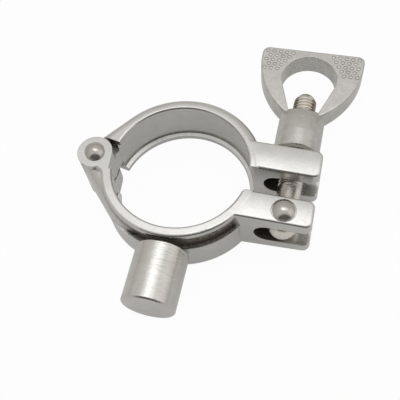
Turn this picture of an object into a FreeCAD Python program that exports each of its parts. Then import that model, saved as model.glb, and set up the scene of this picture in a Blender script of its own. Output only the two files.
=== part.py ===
import FreeCAD, Part
import math
import os

import Sketcher

# Hinged tube hanger clip: two cast half rings on a hinge pin, a welded hanger rod,
# and a swing bolt with a wing nut that closes the two lugs.
# Frame: origin at the centre of the bore, +Z along the tube, the hinge at -X,
# the lugs at +X and the hanger rod at -Y. Millimetres.

doc = FreeCAD.newDocument("TubeHangerClip")
sizes = doc.addObject("Spreadsheet::Sheet", "Sizes")

# Driving dimensions
SIZES = [
    ("bore_radius", 22.5, "half of the tube that the clip holds"),
    ("ring_width", 19.0, "width of both half rings along the tube"),
    ("lip_height", 1.9, "height of each gripping lip inside the bore"),
    ("lip_slope", 0.5, "slope from a lip down to the groove"),
    ("groove_radius", 23.8, "relief between the two lips"),
    ("bore_rounding", 0.7, "rounding of the bore's outer edges"),
    ("cut_margin", 2.0, "how far cutting tools run past the faces they cut"),
    ("nose_margin", 1.0, "the same for the tools that round a lug's nose"),
    ("near_outer_radius", 27.3, "outer wall of the near jaw"),
    ("near_flange_radius", 26.0, "top flange of the near jaw"),
    ("near_flange_rounding", 0.9, "rounding of that flange's edge"),
    ("near_foot_rounding", 0.6, "rounding of the near jaw's lower edge"),
    ("recess_floor_radius", 25.1, "floor of the recess round the near jaw"),
    ("recess_top", 7.5, "height of the recess's upper edge above the middle"),
    ("recess_low", 2.5, "height of the rim that bounds the recess below"),
    ("recess_depth_low", 1.8, "how far the recess goes down behind the rim"),
    ("rim_thickness", 1.0, "thickness of that rim"),
    ("far_outer_radius", 27.0, "outer wall of the far jaw"),
    ("far_rounding", 3.0, "rounding of the far jaw's outer edges"),
    ("far_fairing_angle", 142.0, "where the far wall runs on straight to the hinge, from +X"),
    ("far_end_angle", 167.0, "where the far ring ends beside the hinge, in degrees from +X"),
    ("neck_angle", 150.0, "where the neck meets the far ring, in degrees from +X"),
    ("hinge_reach", 29.2, "distance from the bore's centre to the hinge pin"),
    ("ear_radius", 5.9, "radius of the two hinge ears"),
    ("ear_gap", 7.6, "opening between the hinge ears"),
    ("ear_shoulder", 5.6, "how far the full thickness of the ears runs towards the rod"),
    ("shoulder_sweep", 3.0, "curve that leads the edge of that thickness into the flange"),
    ("shoulder_root", 2.2, "how deep that edge reaches into the ring behind the flange"),
    ("arm_drop", 1.7, "how far the arm lies below the flange and the ears"),
    ("arm_rounding", 4.5, "rounding of the arm between ring and hinge"),
    ("fairing_radius", 15.0, "curve by which the arm runs out in the recess"),
    ("knuckle_radius", 5.4, "radius of the far jaw's knuckle"),
    ("side_clearance", 0.3, "play on each side of a knuckle or an eye"),
    ("sweep_clearance", 0.4, "play round a turning knuckle"),
    ("knuckle_reach", 23.9, "inner face of the neck that leads to the knuckle"),
    ("neck_outer_radius", 26.4, "outer end of that neck on the ring"),
    ("pin_clearance", 0.06, "radial play of a pin in the piece that turns on it"),
    ("near_lug_face", 5.3, "inner face of the near lug, from the middle towards the rod"),
    ("near_lug_depth", 9.7, "thickness of the near lug across the gap"),
    ("far_lug_face", 3.25, "inner face of the far lug, from the middle away from the rod"),
    ("far_lug_depth", 10.05, "thickness of the far lug across the gap"),
    ("lug_end", 45.0, "end of both lugs"),
    ("lug_taper_start", 22.0, "where the lugs start to taper in height"),
    ("lug_end_height", 17.2, "height of the lugs at their end"),
    ("lug_corner", 2.3, "rounding of the lugs' upright corners"),
    ("lug_edge", 0.8, "rounding of the lugs' long edges"),
    ("near_lug_nose", 1.8, "rounding between the bore and the near lug's face"),
    ("far_lug_nose", 1.0, "rounding between the bore and the far lug's face"),
    ("slot_height", 8.7, "height of the open slots in the lugs"),
    ("slot_end", 27.0, "closed end of those slots"),
    ("bolt_place", 35.7, "bolt axis, from the bore's centre"),
    ("eye_pin_drop", 10.3, "eye pin, from the middle towards the rod"),
    ("eye_radius", 5.3, "radius of the rounded bolt eye"),
    ("bolt_radius", 3.95, "bolt shank"),
    ("bolt_tip", 39.9, "end of the bolt, from the middle"),
    ("bolt_point", 2.0, "length of the bolt's pointed end"),
    ("bolt_point_radius", 2.7, "radius of the bolt's end face"),
    ("thread_clearance", 0.06, "radial play of the bolt in the nut"),
    ("hinge_pin_radius", 2.2, "shank of the hinge pin"),
    ("hinge_head_radius", 3.3, "riveted heads of the hinge pin"),
    ("eye_pin_radius", 2.4, "shank of the eye pin"),
    ("eye_head_radius", 3.6, "riveted heads of the eye pin"),
    ("head_side", 0.7, "straight side of a pin head"),
    ("head_crown", 1.5, "crown of a pin head"),
    ("head_seat_margin", 0.35, "flat round an eye pin head, milled in the tapered lug"),
    ("head_seat_depth", 0.12, "depth of that flat at its shallow side"),
    ("rod_radius", 8.7, "hanger rod"),
    ("rod_end", 46.2, "end of the hanger rod, from the bore's centre"),
    ("rod_chamfer", 0.5, "chamfer of the rod's end"),
    ("weld_groove", 1.4, "chamfer round the rod's root, for its weld"),
    ("nut_base", 14.65, "seat of the wing nut, from the middle"),
    ("barrel_radius", 7.8, "wing nut barrel"),
    ("barrel_chamfer", 1.0, "chamfer round the barrel's seat"),
    ("barrel_blend", 22.0, "where the barrel starts to flatten towards the window"),
    ("barrel_half_end", 5.2, "half the flattened barrel's thickness at the window"),
    ("wing_half_thickness", 3.85, "half the wing's thickness"),
    ("wing_top", 58.6, "top edge of the wing, from the middle"),
    ("wing_half_width", 18.4, "half the wing's width"),
    ("wing_corner", 2.5, "rounding of the wing's two corners"),
    ("wing_side_radius", 31.0, "sweep of the wing's sides"),
    ("wing_widest", 55.0, "height at which the wing is widest"),
    ("wing_root_half", 6.4, "half the wing's width where it leaves the barrel"),
    ("wing_edge", 0.7, "rounding of the wing's outline"),
    ("window_radius", 9.7, "rounded top of the wing's window"),
    ("window_centre", 46.0, "centre of that rounding, from the middle"),
    ("window_low", 31.5, "flat bottom of the window"),
    ("window_low_half", 5.2, "half the window's width at its bottom"),
    ("window_join", 43.5, "where the window's sides meet its rounding"),
]
for row, (alias, size, note) in enumerate(SIZES, start=1):
    sizes.set("A%d" % row, alias)
    sizes.set("B%d" % row, str(size))
    sizes.set("C%d" % row, note)
    sizes.setAlias("B%d" % row, alias)
doc.recompute()

Z_AXIS = FreeCAD.Vector(0, 0, 1)
V_AXIS_INDEX = -2
H_AXIS_INDEX = -1
ALONG_Y = FreeCAD.Rotation(FreeCAD.Vector(1, 0, 0), -90)
UPRIGHT = FreeCAD.Rotation()

HALF_WIDTH = "Sizes.ring_width / 2"
EAR_HALF_GAP = "Sizes.ear_gap / 2"
SLOT_HALF = "Sizes.slot_height / 2"
ARM_HALF = "(Sizes.ring_width / 2 - Sizes.arm_drop)"
TONGUE_HALF = "(Sizes.ear_gap / 2 - Sizes.side_clearance)"
EYE_HALF = "(Sizes.slot_height / 2 - Sizes.side_clearance)"


def size_of(expression):
    """Value of an expression in the sheet's names."""
    return float(sizes.evalExpression(expression.replace("Sizes.", "")))


def bind(item, prop, expression):
    item.setExpression(prop, expression)


def origin_plane(body, role):
    for feature in body.Origin.OriginFeatures:
        if feature.Role == role:
            return feature
    raise ValueError(role)


def sketch_on(body, role, name, offset=None):
    """Sketch on one of the body's origin planes, moved along the plane's normal."""
    sketch = body.newObject("Sketcher::SketchObject", name)
    sketch.AttachmentSupport = [(origin_plane(body, role), "")]
    sketch.MapMode = "FlatFace"
    if offset:
        bind(sketch, "AttachmentOffset.Base.z", offset)
    return sketch


def fix_point(sketch, geometry, point, x, y):
    """Tie a point of the sketch to two expressions."""
    for kind, value, axis in (("DistanceX", x, V_AXIS_INDEX), ("DistanceY", y, H_AXIS_INDEX)):
        if value == "0":
            sketch.addConstraint(Sketcher.Constraint("PointOnObject", geometry, point, axis))
        else:
            constraint = Sketcher.Constraint(kind, -1, 1, geometry, point, size_of(value))
            index = sketch.addConstraint(constraint)
            bind(sketch, "Constraints[%d]" % index, value)


def arc_between(start, end, radius, turn):
    """The shorter arc from start to end, turning left or right on the way."""
    chord = end - start
    middle = start + chord * 0.5
    left = FreeCAD.Vector(-chord.y, chord.x, 0).normalize()
    depth = math.sqrt(max(radius ** 2 - (chord.Length / 2) ** 2, 0))
    centre = middle + left * (depth if turn == "left" else -depth)
    first, last = (start, end) if turn == "left" else (end, start)
    angles = [math.atan2(p.y - centre.y, p.x - centre.x) for p in (first, last)]
    if angles[1] < angles[0]:
        angles[1] += 2 * math.pi
    return Part.ArcOfCircle(Part.Circle(centre, Z_AXIS, radius), angles[0], angles[1])


def draw_outline(sketch, corners):
    """Closed outline. A corner is (x, y), or (x, y, radius, turn) if an arc leads on from it."""
    places = [FreeCAD.Vector(size_of(c[0]), size_of(c[1]), 0) for c in corners]
    ends = []
    for number, corner in enumerate(corners):
        start = places[number]
        end = places[(number + 1) % len(corners)]
        if len(corner) == 2:
            geometry = sketch.addGeometry(Part.LineSegment(start, end))
            ends.append((geometry, 1, 2))
        else:
            radius, turn = corner[2], corner[3]
            geometry = sketch.addGeometry(arc_between(start, end, size_of(radius), turn))
            ends.append((geometry, 1, 2) if turn == "left" else (geometry, 2, 1))
    for number, (geometry, first, last) in enumerate(ends):
        following = ends[(number + 1) % len(ends)]
        joint = Sketcher.Constraint("Coincident", geometry, last, following[0], following[1])
        sketch.addConstraint(joint)
    for (geometry, first, last), corner in zip(ends, corners):
        fix_point(sketch, geometry, first, corner[0], corner[1])
        if len(corner) > 2:
            constraint = Sketcher.Constraint("Radius", geometry, size_of(corner[2]))
            index = sketch.addConstraint(constraint)
            bind(sketch, "Constraints[%d]" % index, corner[2])


def new_body(name):
    return doc.addObject("PartDesign::Body", name)


def revolve(name, profile):
    """Body turned about Z from a closed half section (radius, height)."""
    body = new_body(name)
    sketch = sketch_on(body, "XZ_Plane", name + "Section")
    draw_outline(sketch, profile)
    turned = body.newObject("PartDesign::Revolution", name + "Turned")
    turned.Profile = sketch
    turned.ReferenceAxis = (sketch, ["V_Axis"])
    turned.Angle = 360
    return body


def slab(name, outline, half_height):
    """Body extruded evenly to both sides of the middle plane from a plan outline."""
    body = new_body(name)
    sketch = sketch_on(body, "XY_Plane", name + "Plan")
    draw_outline(sketch, outline)
    pad = body.newObject("PartDesign::Pad", name + "Pad")
    pad.Profile = sketch
    pad.SideType = "Symmetric"
    bind(pad, "Length", "2 * (%s)" % half_height)
    return body


def cut_away(body, name, outline):
    """Remove a plan outline from the whole width of a ring."""
    sketch = sketch_on(body, "XY_Plane", name + "Plan")
    draw_outline(sketch, outline)
    pocket = body.newObject("PartDesign::Pocket", name)
    pocket.Profile = sketch
    pocket.SideType = "Symmetric"
    bind(pocket, "Length", "Sizes.ring_width + 2 * Sizes.cut_margin")


def round_edges(body, name, radius, chosen):
    """Fillet the edges of the body's last feature that the test picks."""
    doc.recompute()
    base = body.Tip
    picked = [
        "Edge%d" % number
        for number, edge in enumerate(base.Shape.Edges, start=1)
        if chosen(edge)
    ]
    fillet = body.newObject("PartDesign::Fillet", name)
    fillet.Base = (base, picked)
    bind(fillet, "Radius", radius)
    return fillet


def cylinder(name, radius, height, base, turn=UPRIGHT):
    item = doc.addObject("Part::Cylinder", name)
    item.Placement = FreeCAD.Placement(FreeCAD.Vector(), turn)
    bind(item, "Radius", radius)
    bind(item, "Height", height)
    place(item, base)
    return item


def place(item, base):
    for axis, value in zip("xyz", base):
        if value != "0":
            bind(item, "Placement.Base." + axis, value)


def block(name, lengths, base):
    item = doc.addObject("Part::Box", name)
    for prop, value in zip(("Length", "Width", "Height"), lengths):
        bind(item, prop, value)
    place(item, base)
    return item


def fuse(name, items):
    item = doc.addObject("Part::MultiFuse", name)
    item.Shapes = items
    return item


def cut(name, base, tool):
    item = doc.addObject("Part::Cut", name)
    item.Base = base
    item.Tool = tool
    return item


def end_rims(item, height, chamfer):
    """Chamfer entries for the round edge of a bar along Y that lies at this height."""
    y = size_of(height)
    size = size_of(chamfer)
    return [
        (number, size, size)
        for number, edge in enumerate(item.Shape.Edges, start=1)
        if abs(edge.BoundBox.YMin - y) + abs(edge.BoundBox.YMax - y) < 1e-4
    ]


def common(name, items):
    item = doc.addObject("Part::MultiCommon", name)
    item.Shapes = items
    return item


# Bore: two gripping lips with a relief between them, shared by both jaws
BORE_EDGE = "(Sizes.bore_radius + Sizes.bore_rounding)"
TOOL_TOP = "(Sizes.ring_width / 2 + Sizes.cut_margin)"
GROOVE_HALF = "(Sizes.ring_width / 2 - Sizes.lip_height - Sizes.lip_slope)"
LIP_END = "(Sizes.ring_width / 2 - Sizes.lip_height)"
EDGE_LOW = "(Sizes.ring_width / 2 - Sizes.bore_rounding)"


def bore_tool():
    return revolve("Bore", [
        ("0", "-" + TOOL_TOP),
        (BORE_EDGE, "-" + TOOL_TOP),
        (BORE_EDGE, "-(%s)" % HALF_WIDTH, "Sizes.bore_rounding", "right"),
        ("Sizes.bore_radius", "-" + EDGE_LOW),
        ("Sizes.bore_radius", "-" + LIP_END),
        ("Sizes.groove_radius", "-" + GROOVE_HALF),
        ("Sizes.groove_radius", GROOVE_HALF),
        ("Sizes.bore_radius", LIP_END),
        ("Sizes.bore_radius", EDGE_LOW, "Sizes.bore_rounding", "right"),
        (BORE_EDGE, HALF_WIDTH),
        (BORE_EDGE, TOOL_TOP),
        ("0", TOOL_TOP),
    ])


# Near jaw: its outer wall is stepped, with a recess under the top flange
def near_ring():
    rim_inner = "(Sizes.near_outer_radius - Sizes.rim_thickness)"
    trough = "(Sizes.recess_low - Sizes.recess_depth_low)"
    foot = "Sizes.near_foot_rounding"
    edge = "Sizes.near_flange_rounding"
    body = revolve("NearRing", [
        ("0", "-(%s)" % HALF_WIDTH),
        ("Sizes.near_outer_radius - " + foot, "-(%s)" % HALF_WIDTH, foot, "left"),
        ("Sizes.near_outer_radius", "-(%s - %s)" % (HALF_WIDTH, foot)),
        ("Sizes.near_outer_radius", "Sizes.recess_low"),
        (rim_inner, "Sizes.recess_low"),
        (rim_inner, trough),
        ("Sizes.recess_floor_radius", trough),
        ("Sizes.recess_floor_radius", "Sizes.recess_top"),
        ("Sizes.near_flange_radius", "Sizes.recess_top"),
        ("Sizes.near_flange_radius", "%s - %s" % (HALF_WIDTH, edge), edge, "left"),
        ("Sizes.near_flange_radius - " + edge, HALF_WIDTH),
        ("0", HALF_WIDTH),
    ])
    reach = "(Sizes.near_outer_radius + Sizes.cut_margin)"
    cut_away(body, "NearHalf", [
        ("-" + reach, "-Sizes.near_lug_face"),
        (reach, "-Sizes.near_lug_face"),
        (reach, reach),
        ("-" + reach, reach),
    ])
    return body


# The arm's outer wall is tangent to the ring and to the hinge ears
WALL_X = "((Sizes.near_outer_radius - Sizes.ear_radius) / Sizes.hinge_reach)"
WALL_Y = "sqrt(1 - %s ^ 2)" % WALL_X
FAIRING_CENTRE = "(Sizes.near_outer_radius - Sizes.fairing_radius)"
WALL_MIDDLE = "((Sizes.groove_radius + Sizes.recess_floor_radius) / 2)"
RUN_OUT = "((%s ^ 2 + %s ^ 2 - Sizes.fairing_radius ^ 2) / (2 * %s * %s))" % (
    FAIRING_CENTRE, WALL_MIDDLE, FAIRING_CENTRE, WALL_MIDDLE)
RUN_OUT_SIDE = "sqrt(1 - %s ^ 2)" % RUN_OUT
EAR_WALL = ("-Sizes.hinge_reach - Sizes.ear_radius * " + WALL_X, "-Sizes.ear_radius * " + WALL_Y)
RING_WALL = ("-Sizes.near_outer_radius * " + WALL_X, "-Sizes.near_outer_radius * " + WALL_Y)


def arm():
    """Straight arm from the ring to the ears, with its outer edges well rounded."""
    run_out_x = "%s * (%s * %s - %s * %s)" % (WALL_MIDDLE, WALL_Y, RUN_OUT_SIDE, WALL_X, RUN_OUT)
    run_out_y = "-%s * (%s * %s + %s * %s)" % (WALL_MIDDLE, WALL_Y, RUN_OUT, WALL_X, RUN_OUT_SIDE)
    body = slab("ArmBlank", [
        EAR_WALL,
        (RING_WALL[0], RING_WALL[1], "Sizes.fairing_radius", "left"),
        (run_out_x, run_out_y),
        ("0", "0"),
        ("-Sizes.hinge_reach", "0"),
    ], ARM_HALF)
    normal = FreeCAD.Vector(-size_of(WALL_X), -size_of(WALL_Y), 0)
    arm_half = size_of(ARM_HALF)
    wall = size_of("Sizes.near_outer_radius")
    fairing = normal * size_of(FAIRING_CENTRE)
    fairing_radius = size_of("Sizes.fairing_radius")

    def on_outer_wall(edge):
        middle = edge.valueAt((edge.FirstParameter + edge.LastParameter) / 2)
        if abs(abs(middle.z) - arm_half) > 1e-6:
            return False
        in_plan = FreeCAD.Vector(middle.x, middle.y, 0)
        on_line = abs(in_plan.dot(normal) - wall) < 1e-4
        on_arc = abs((in_plan - fairing).Length - fairing_radius) < 1e-4
        return on_line or on_arc

    round_edges(body, "ArmRounding", "Sizes.arm_rounding", on_outer_wall)
    hollow = cylinder("ArmHollow", WALL_MIDDLE, "Sizes.ring_width + 2 * Sizes.cut_margin", (
        "0", "0", "-Sizes.ring_width / 2 - Sizes.cut_margin"))
    return cut("Arm", body, hollow)


def ear_shoulder():
    """Full thickness part beside the ears. Its lower edge sweeps into that of the flange."""
    low = "Sizes.ear_shoulder"
    sweep = "Sizes.shoulder_sweep"
    flange = "Sizes.near_flange_radius"
    wall_at_low = "-(Sizes.near_outer_radius - %s * %s) / %s" % (low, WALL_Y, WALL_X)
    sweep_x = "sqrt((%s + %s) ^ 2 - (%s + %s) ^ 2)" % (flange, sweep, low, sweep)
    on_flange = "%s / (%s + %s)" % (flange, flange, sweep)
    in_ring = "(%s - Sizes.shoulder_root) / (%s + %s)" % (flange, flange, sweep)
    body = slab("EarShoulder", [
        EAR_WALL,
        (wall_at_low, "-" + low),
        ("-" + sweep_x, "-" + low, sweep, "right"),
        ("-%s * %s" % (on_flange, sweep_x), "-%s * (%s + %s)" % (on_flange, low, sweep)),
        ("-%s * %s" % (in_ring, sweep_x), "-%s * (%s + %s)" % (in_ring, low, sweep)),
        ("-(Sizes.hinge_reach - Sizes.ear_radius)", "0"),
        ("-Sizes.hinge_reach", "0"),
    ], HALF_WIDTH)
    half_width = size_of(HALF_WIDTH)
    low_y = size_of("-" + low)
    flange_y = size_of("-%s * (%s + %s)" % (on_flange, low, sweep))
    outside = size_of("-%s * %s" % (on_flange, sweep_x))

    def step_edge(edge):
        middle = edge.CenterOfMass
        ends = [vertex.Point for vertex in edge.Vertexes]
        flat = abs(abs(middle.z) - half_width) < 1e-6
        in_step = all(flange_y - 1e-6 < point.y < low_y + 1e-6 for point in ends)
        return flat and in_step and max(point.x for point in ends) < outside + 1e-6

    round_edges(body, "StepRounding", "Sizes.near_flange_rounding", step_edge)
    return body


def lug(name, face, depth):
    """Lug block, tapered in height towards its end. The face is its wall nearest the rod."""
    body = new_body(name)
    sketch = sketch_on(body, "XZ_Plane", name + "Side", face)
    end_half = "Sizes.lug_end_height / 2"
    root = "Sizes.bore_radius / 2"
    draw_outline(sketch, [
        (root, "-(%s)" % HALF_WIDTH),
        ("Sizes.lug_taper_start", "-(%s)" % HALF_WIDTH),
        ("Sizes.lug_end", "-(%s)" % end_half),
        ("Sizes.lug_end", end_half),
        ("Sizes.lug_taper_start", HALF_WIDTH),
        (root, HALF_WIDTH),
    ])
    pad = body.newObject("PartDesign::Pad", name + "Pad")
    pad.Profile = sketch
    bind(pad, "Length", depth)
    lug_end = size_of("Sizes.lug_end")
    root_x = size_of(root)

    def end_corner(edge):
        ends = [vertex.Point for vertex in edge.Vertexes]
        upright = abs(ends[0].y - ends[-1].y) < 1e-6 and abs(ends[0].z - ends[-1].z) > 1
        return upright and min(point.x for point in ends) > lug_end - 1e-6

    def long_edge(edge):
        ends = [vertex.Point for vertex in edge.Vertexes]
        slope = abs(ends[0].z - ends[-1].z)
        across = abs(ends[0].x - ends[-1].x) < 1e-6
        beyond_root = max(point.x for point in ends) > root_x + 1e-6
        at_end = min(point.x for point in ends) > lug_end - 1e-6
        return slope < 2 and beyond_root and (at_end or not across)

    round_edges(body, name + "Corners", "Sizes.lug_corner", end_corner)
    round_edges(body, name + "Edges", "Sizes.lug_edge", long_edge)
    return body


def nose_tool(name, face, radius, side):
    """Tool that rounds the upright corner between the bore and a lug's face at y = side * face."""
    centre_x = "sqrt((Sizes.bore_radius + %s) ^ 2 - (%s + %s) ^ 2)" % (radius, face, radius)
    share = "(Sizes.bore_radius / (Sizes.bore_radius + %s))" % radius
    bore_x = "%s * %s" % (share, centre_x)
    bore_y = "%s%s * (%s + %s)" % (side, share, face, radius)
    turn = "left" if side == "-" else "right"
    past_face = "%s(%s - Sizes.nose_margin)" % (side, face)
    return slab(name, [
        (centre_x, side + face, radius, turn),
        (bore_x, bore_y),
        (bore_x + " - Sizes.nose_margin", bore_y),
        (bore_x + " - Sizes.nose_margin", past_face),
        (centre_x, past_face),
    ], TOOL_TOP)


def bolt_slot(name, low, width):
    """Open slot with a round inner end, from low along +Y."""
    centre = "(Sizes.slot_end + %s)" % SLOT_HALF
    rounded = cylinder(name + "End", SLOT_HALF, width, (centre, low, "0"), ALONG_Y)
    straight = block(name + "Way", (
        "Sizes.lug_end - %s + Sizes.cut_margin" % centre, width, "Sizes.slot_height",
    ), (centre, low, "-Sizes.slot_height / 2"))
    return [rounded, straight]


def through_hole(name, radius, centre):
    return cylinder(name, radius, "Sizes.ring_width + 2 * Sizes.cut_margin", (
        centre[0], centre[1], "-Sizes.ring_width / 2 - Sizes.cut_margin"))


EYE_PIN = ("Sizes.bolt_place", "-Sizes.eye_pin_drop")
HINGE = ("-Sizes.hinge_reach", "0")
HEAD_EDGE = "(Sizes.bolt_place + Sizes.eye_head_radius + Sizes.head_seat_margin)"
LUG_SLOPE = "((Sizes.ring_width - Sizes.lug_end_height) / 2 / (Sizes.lug_end - Sizes.lug_taper_start))"
EYE_SEAT = "(Sizes.ring_width / 2 - %s * (%s - Sizes.lug_taper_start) - Sizes.head_seat_depth)" % (
    LUG_SLOPE, HEAD_EDGE)


def near_jaw(bore):
    ring_and_lug = fuse("NearRingAndLug", [
        near_ring(), lug("NearLug", "Sizes.near_lug_face", "Sizes.near_lug_depth")])
    bored = cut("NearBored", ring_and_lug, bore)
    ear = cylinder("Ear", "Sizes.ear_radius", "Sizes.ring_width", (
        HINGE[0], HINGE[1], "-Sizes.ring_width / 2"))
    solid = fuse("NearSolid", [bored, arm(), ear_shoulder(), ear])
    gap_radius = "(Sizes.knuckle_radius + Sizes.sweep_clearance)"
    gap_low = "-Sizes.near_lug_face + 2 * Sizes.sweep_clearance"
    swept = cylinder("KnuckleSweep", gap_radius, "Sizes.ear_gap", (
        HINGE[0], HINGE[1], "-" + EAR_HALF_GAP))
    mouth = block("KnuckleMouth", (
        "2 * (Sizes.hinge_reach - Sizes.bore_radius + Sizes.cut_margin)",
        "2 * Sizes.near_lug_face", "Sizes.ear_gap",
    ), ("-2 * Sizes.hinge_reach + Sizes.bore_radius - Sizes.cut_margin", gap_low,
        "-" + EAR_HALF_GAP))
    slot_depth = "Sizes.near_lug_depth + 2 * Sizes.cut_margin"
    slot_low = "-Sizes.near_lug_face - Sizes.near_lug_depth - Sizes.cut_margin"
    tools = [swept, mouth]
    tools.append(nose_tool("NearNose", "Sizes.near_lug_face", "Sizes.near_lug_nose", "-"))
    tools += bolt_slot("EyeSlot", slot_low, slot_depth)
    tools.append(through_hole("NearHingeHole", "Sizes.hinge_pin_radius", HINGE))
    tools.append(through_hole("EyePinHole", "Sizes.eye_pin_radius", EYE_PIN))
    head_room = "Sizes.eye_head_radius + Sizes.head_seat_margin"
    tools.append(cylinder("UpperHeadSeat", head_room, "Sizes.cut_margin", (
        EYE_PIN[0], EYE_PIN[1], EYE_SEAT)))
    tools.append(cylinder("LowerHeadSeat", head_room, "Sizes.cut_margin", (
        EYE_PIN[0], EYE_PIN[1], "-%s - Sizes.cut_margin" % EYE_SEAT)))
    return cut("NearJaw", solid, fuse("NearTools", tools))


# Far jaw: plain rounded wall, one lug, and a neck that ends in the hinge knuckle
def on_circle(radius, angle):
    return ("%s * cos(%s * 1 deg)" % (radius, angle), "%s * sin(%s * 1 deg)" % (radius, angle))


def far_ring():
    edge = "Sizes.far_rounding"
    outer = "Sizes.far_outer_radius"
    body = revolve("FarRing", [
        ("0", "-(%s)" % HALF_WIDTH),
        (outer + " - " + edge, "-(%s)" % HALF_WIDTH, edge, "left"),
        (outer, "-(%s - %s)" % (HALF_WIDTH, edge)),
        (outer, "%s - %s" % (HALF_WIDTH, edge), edge, "left"),
        (outer + " - " + edge, HALF_WIDTH),
        ("0", HALF_WIDTH),
    ])
    reach = "(2 * Sizes.far_outer_radius)"
    round_end = on_circle(reach, "Sizes.far_fairing_angle")
    cut_away(body, "FarHalf", [
        ("0", "0"),
        round_end,
        (round_end[0], "-" + reach),
        (reach, "-" + reach),
        (reach, "Sizes.far_lug_face"),
        ("0", "Sizes.far_lug_face"),
    ])
    return body


def far_fairing():
    """Straight end of the far wall: it leaves the ring on a tangent, rounded like the ring."""
    outer = "Sizes.far_outer_radius"
    start = "Sizes.far_fairing_angle"
    end = "Sizes.far_end_angle"
    leaves = on_circle(outer, start)
    stops = on_circle("(%s / cos((%s - %s) * 1 deg))" % (outer, end, start), end)
    body = slab("FarFairing", [("0", "0"), leaves, stops], HALF_WIDTH)
    half_width = size_of(HALF_WIDTH)
    outer_radius = size_of(outer)

    def on_wall(edge):
        ends = [vertex.Point for vertex in edge.Vertexes]
        flat = abs(abs(edge.CenterOfMass.z) - half_width) < 1e-6
        return flat and all(math.hypot(point.x, point.y) > outer_radius - 1e-6 for point in ends)

    round_edges(body, "FairingRounding", "Sizes.far_rounding", on_wall)
    return body


def far_jaw(bore):
    ring_and_lug = fuse("FarRingAndLug", [
        far_ring(),
        far_fairing(),
        lug("FarLug", "-Sizes.far_lug_face - Sizes.far_lug_depth", "Sizes.far_lug_depth")])
    bored = cut("FarBored", ring_and_lug, bore)
    inner = "Sizes.knuckle_reach"
    neck_inner = on_circle(inner, "Sizes.neck_angle")
    neck_outer = on_circle("Sizes.neck_outer_radius", "Sizes.neck_angle")
    neck = slab("Neck", [
        ("-Sizes.hinge_reach", "0"),
        ("-" + inner, "0", inner, "right"),
        neck_inner,
        neck_outer,
        ("-Sizes.hinge_reach", "Sizes.knuckle_radius"),
    ], TONGUE_HALF)
    knuckle = cylinder("Knuckle", "Sizes.knuckle_radius", "2 * " + TONGUE_HALF, (
        HINGE[0], HINGE[1], "-" + TONGUE_HALF))
    solid = fuse("FarSolid", [bored, neck, knuckle])
    slot_depth = "Sizes.far_lug_depth + 2 * Sizes.cut_margin"
    tools = bolt_slot("BoltSlot", "Sizes.far_lug_face - Sizes.cut_margin", slot_depth)
    tools.append(nose_tool("FarNose", "Sizes.far_lug_face", "Sizes.far_lug_nose", "+"))
    tools.append(through_hole(
        "FarHingeHole", "Sizes.hinge_pin_radius + Sizes.pin_clearance", HINGE))
    return cut("FarJaw", solid, fuse("FarTools", tools))


# Hanger rod: plain bar, saddled on the near jaw's outer wall, with a groove for its weld
def hanger_rod():
    root = "sqrt(Sizes.near_outer_radius ^ 2 - Sizes.rod_radius ^ 2)"
    bar = cylinder("RodBar", "Sizes.rod_radius", "Sizes.rod_end - " + root, (
        "0", "-Sizes.rod_end", "0"), ALONG_Y)
    chamfered = doc.addObject("Part::Chamfer", "RodChamfered")
    chamfered.Base = bar
    doc.recompute()
    chamfered.Edges = end_rims(bar, "-Sizes.rod_end", "Sizes.rod_chamfer")
    chamfered.Edges += end_rims(bar, "-" + root, "Sizes.weld_groove")
    saddle = cylinder("RodSaddle", "Sizes.near_outer_radius", (
        "Sizes.ring_width + 2 * Sizes.cut_margin"), (
        "0", "0", "-Sizes.ring_width / 2 - Sizes.cut_margin"))
    return cut("HangerRod", chamfered, saddle)


# Riveted pins with a domed head at each end
def headed_pin(name, shank, head, centre, seat):
    side = "(%s + Sizes.head_side)" % seat
    tip = "(%s + Sizes.head_side + Sizes.head_crown)" % seat
    crown = "(%s ^ 2 + Sizes.head_crown ^ 2) / (2 * Sizes.head_crown)" % head
    body = revolve(name, [
        ("0", "-" + tip, crown, "left"),
        (head, "-" + side),
        (head, "-(%s)" % seat),
        (shank, "-(%s)" % seat),
        (shank, seat),
        (head, seat),
        (head, side, crown, "left"),
        ("0", tip),
    ])
    place(body, (centre[0], centre[1], "0"))
    return body


# Swing bolt: a ball with two flats is its eye
def swing_bolt():
    ball = doc.addObject("Part::Sphere", "EyeBall")
    bind(ball, "Radius", "Sizes.eye_radius")
    place(ball, (EYE_PIN[0], EYE_PIN[1], "0"))
    span = "2 * Sizes.eye_radius"
    flats = block("EyeFlats", (span, span, "2 * " + EYE_HALF), (
        "Sizes.bolt_place - Sizes.eye_radius",
        "-Sizes.eye_pin_drop - Sizes.eye_radius",
        "-" + EYE_HALF))
    eye = common("Eye", [ball, flats])
    shank = cylinder("Shank", "Sizes.bolt_radius", (
        "Sizes.bolt_tip - Sizes.bolt_point + Sizes.eye_pin_drop"), (
        EYE_PIN[0], EYE_PIN[1], "0"), ALONG_Y)
    point = doc.addObject("Part::Cone", "BoltPoint")
    point.Placement = FreeCAD.Placement(FreeCAD.Vector(), ALONG_Y)
    bind(point, "Radius1", "Sizes.bolt_radius")
    bind(point, "Radius2", "Sizes.bolt_point_radius")
    bind(point, "Height", "Sizes.bolt_point")
    place(point, (EYE_PIN[0], "Sizes.bolt_tip - Sizes.bolt_point", "0"))
    solid = fuse("BoltSolid", [eye, shank, point])
    hole = through_hole("BoltEyeHole", "Sizes.eye_pin_radius + Sizes.pin_clearance", EYE_PIN)
    return cut("SwingBolt", solid, hole)


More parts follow.
